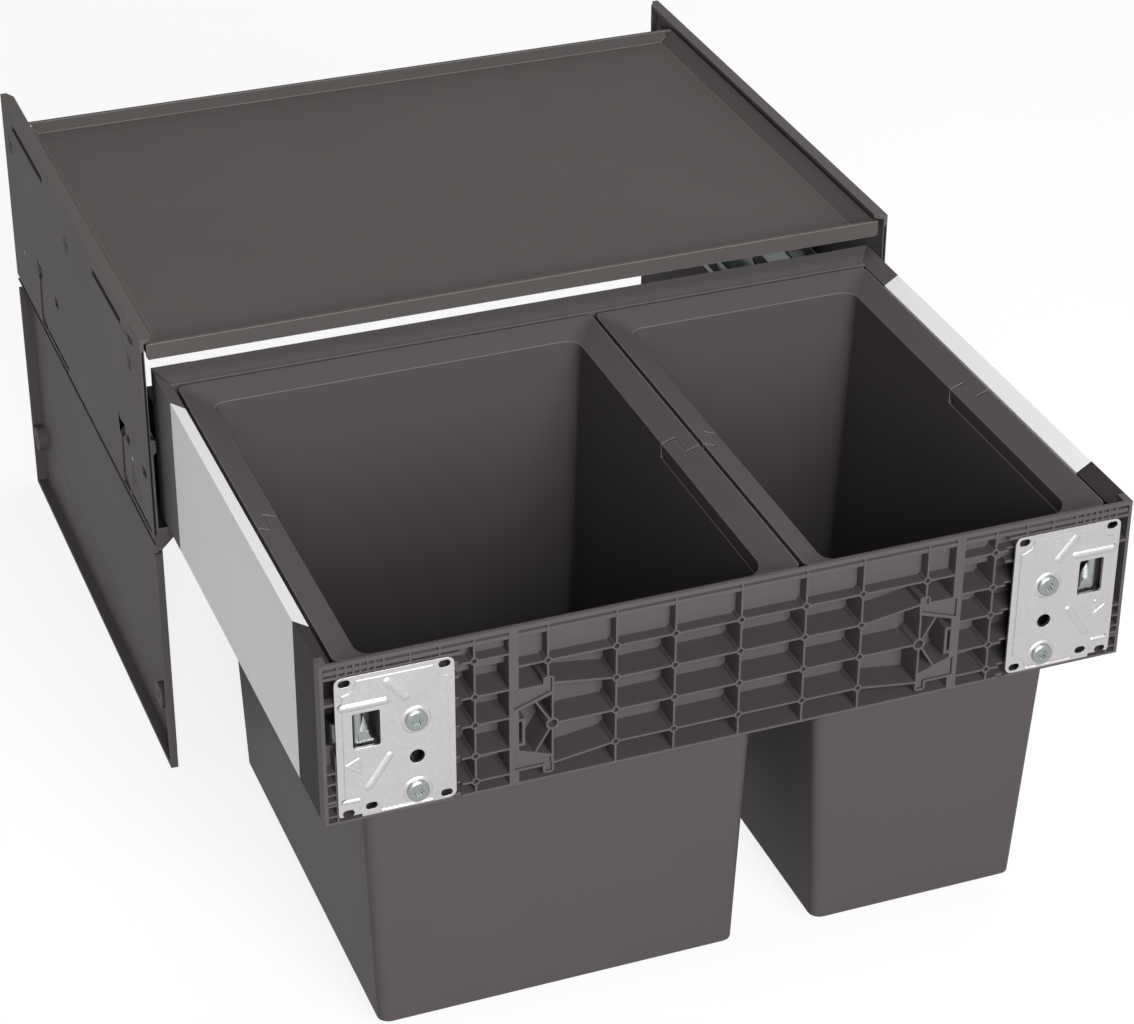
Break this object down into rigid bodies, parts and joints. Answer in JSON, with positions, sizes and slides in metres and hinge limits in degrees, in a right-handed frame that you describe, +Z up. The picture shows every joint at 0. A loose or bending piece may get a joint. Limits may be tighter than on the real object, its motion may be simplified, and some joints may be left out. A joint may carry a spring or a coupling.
{
  "type": "pull_out_bin_frame",
  "caption": "Pull-out waste bin frame for a base cabinet: dark side plates, lid tray, runners, drawer with ribbed front panel and zinc brackets, and lift-out bins with bail handles",
  "frame": {"origin": "middle of the cabinet opening, on the cabinet floor, at the front edge of the side plates", "axes": "+X to the right across the cabinet as seen from the front, +Y into the cabinet, +Z up; drawn with the drawer fully open toward -Y"},
  "size_m": [0.564, 0.8334, 0.3568],
  "materials": {
    "plate": "fine grained anthracite plastic",
    "dark_plastic": "matt anthracite plastic",
    "lid": "matt anthracite plastic",
    "bin": "satin anthracite plastic",
    "cover": "light grey plastic",
    "cage": "natural plastic",
    "runner_steel": "galvanised",
    "zinc": "bright zinc",
    "screw_steel": "zinc plated"
  },
  "bodies": {
    "cabinet_frame": {"side_plate_left": "plate", "side_plate_right": "plate", "lid_catch_left": "dark_plastic", "lid_catch_right": "dark_plastic", "cabinet_rail_left": "runner_steel", "cabinet_rail_right": "runner_steel", "rail_screws": "screw_steel"},
    "lid": {"lid_tray": "lid"},
    "low_cage_l": {"lower_cage_left": "cage"},
    "low_cage_r": {"lower_cage_right": "cage"},
    "mid_rail_l": {"middle_rail_left": "runner_steel"},
    "mid_rail_r": {"middle_rail_right": "runner_steel"},
    "top_cage_l": {"upper_cage_left": "cage"},
    "top_cage_r": {"upper_cage_right": "cage"},
    "drawer": {"drawer_rail_left": "runner_steel", "drawer_rail_right": "runner_steel", "soft_close_left": "cage", "soft_close_right": "cage", "drawer_side_left": "cover", "drawer_side_right": "cover", "front_cap_left": "dark_plastic", "front_cap_right": "dark_plastic", "back_cap_left": "dark_plastic", "back_cap_right": "dark_plastic", "front_panel": "dark_plastic", "back_bar": "dark_plastic", "front_bracket_left": "zinc", "front_bracket_right": "zinc", "bracket_screws": "screw_steel", "lever_pin_left": "screw_steel", "lever_pin_right": "screw_steel"},
    "lever_l": {"release_lever_left": "screw_steel"},
    "lever_r": {"release_lever_right": "screw_steel"},
    "bin_l": {"bin_left": "bin"},
    "bin_r": {"bin_right": "bin"},
    "bail_l": {"handle_left": "bin"},
    "bail_r": {"handle_right": "bin"}
  },
  "joints": [
    {"name": "drawer_slide", "type": "slide", "parent": "cabinet_frame", "child": "drawer", "axis": [0, -1, 0], "range_m": [-0.384, 0]},
    {"name": "mid_slide_l", "type": "slide", "parent": "cabinet_frame", "child": "mid_rail_l", "axis": [0, -1, 0], "range_m": [-0.192, 0]},
    {"name": "mid_slide_r", "type": "slide", "parent": "cabinet_frame", "child": "mid_rail_r", "axis": [0, -1, 0], "range_m": [-0.192, 0]},
    {"name": "low_cage_slide_l", "type": "slide", "parent": "cabinet_frame", "child": "low_cage_l", "axis": [0, -1, 0], "range_m": [-0.096, 0]},
    {"name": "low_cage_slide_r", "type": "slide", "parent": "cabinet_frame", "child": "low_cage_r", "axis": [0, -1, 0], "range_m": [-0.096, 0]},
    {"name": "top_cage_slide_l", "type": "slide", "parent": "cabinet_frame", "child": "top_cage_l", "axis": [0, -1, 0], "range_m": [-0.288, 0]},
    {"name": "top_cage_slide_r", "type": "slide", "parent": "cabinet_frame", "child": "top_cage_r", "axis": [0, -1, 0], "range_m": [-0.288, 0]},
    {"name": "lid_slide", "type": "slide", "parent": "cabinet_frame", "child": "lid", "axis": [0, -1, 0], "range_m": [0, 0.4]},
    {"name": "bin_lift_l", "type": "slide", "parent": "drawer", "child": "bin_l", "axis": [0, 0, 1], "range_m": [0, 0.42]},
    {"name": "bin_lift_r", "type": "slide", "parent": "drawer", "child": "bin_r", "axis": [0, 0, 1], "range_m": [0, 0.42]},
    {"name": "bail_turn_l", "type": "hinge", "parent": "bin_l", "child": "bail_l", "pos_m": [-0.10775, -0.1935, 0.314], "axis": [-1, 0, 0], "range_deg": [0, 90]},
    {"name": "bail_turn_r", "type": "hinge", "parent": "bin_r", "child": "bail_r", "pos_m": [0.15375, -0.1935, 0.314], "axis": [-1, 0, 0], "range_deg": [0, 90]},
    {"name": "lever_turn_l", "type": "hinge", "parent": "drawer", "child": "lever_l", "pos_m": [-0.2495, -0.376, 0.2785], "axis": [0, 0, -1], "range_deg": [0, 20]},
    {"name": "lever_turn_r", "type": "hinge", "parent": "drawer", "child": "lever_r", "pos_m": [0.2495, -0.376, 0.2785], "axis": [0, 0, 1], "range_deg": [0, 20]}
  ],
  "couplings": [
    {"joint": "mid_slide_l", "follows": "drawer_slide", "ratio": 0.5},
    {"joint": "mid_slide_r", "follows": "drawer_slide", "ratio": 0.5},
    {"joint": "low_cage_slide_l", "follows": "drawer_slide", "ratio": 0.25},
    {"joint": "low_cage_slide_r", "follows": "drawer_slide", "ratio": 0.25},
    {"joint": "top_cage_slide_l", "follows": "drawer_slide", "ratio": 0.75},
    {"joint": "top_cage_slide_r", "follows": "drawer_slide", "ratio": 0.75}
  ]
}
